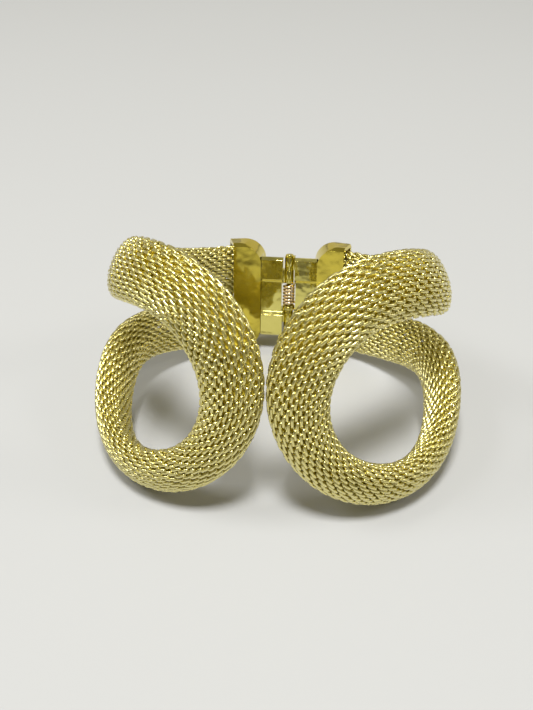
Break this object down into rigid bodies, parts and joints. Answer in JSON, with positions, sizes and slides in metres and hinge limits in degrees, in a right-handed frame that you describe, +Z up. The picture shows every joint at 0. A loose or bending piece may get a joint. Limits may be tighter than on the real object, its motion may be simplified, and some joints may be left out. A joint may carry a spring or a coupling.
{
  "type": "hinged mesh bangle",
  "caption": "Hinged bangle: mirrored teardrop loops of woven gold wire tube that nearly touch at the front, polished end caps and a sprung pin hinge at the back.",
  "frame": {"origin": "on the plane the bangle rests on, under the middle of its bounding box", "axes": "+X to the right seen from the front, +Y from the front opening towards the hinge, +Z up; the wrist axis leans back 16.9 degrees from +Z because the front loops reach lower than the caps"},
  "size_m": [0.07, 0.0576, 0.0442],
  "materials": {
    "woven_wire": "bright gold-plated woven wire",
    "polished_gold": "mirror-polished gold plate",
    "hinge_gold": "polished gold plate",
    "spring_wire": "gold-washed spring steel",
    "core_plastic": "soft plastic tube, tinted gold",
    "core_steel": "drawn steel wire"
  },
  "bodies": {
    "left_half": {"left_mesh_sleeve": "woven_wire", "left_core_tube": "core_plastic", "left_core_wire": "core_steel", "left_end_cap": "polished_gold", "left_hinge_leaf": "hinge_gold", "torsion_spring": "spring_wire"},
    "right_half": {"right_mesh_sleeve": "woven_wire", "right_core_tube": "core_plastic", "right_core_wire": "core_steel", "right_end_cap": "polished_gold", "right_hinge_leaf": "hinge_gold", "hinge_pin": "hinge_gold", "spring_collar": "hinge_gold"}
  },
  "joints": [
    {"name": "hinge", "type": "hinge", "parent": "left_half", "child": "right_half", "pos_m": [0, 0.02316, 0.01174], "axis": [0, 0.2914, 0.9566], "range_deg": [0, 60], "stiffness_Nm_per_rad": 0.06, "springref_deg": -45.84, "deforming": ["torsion_spring"]}
  ]
}
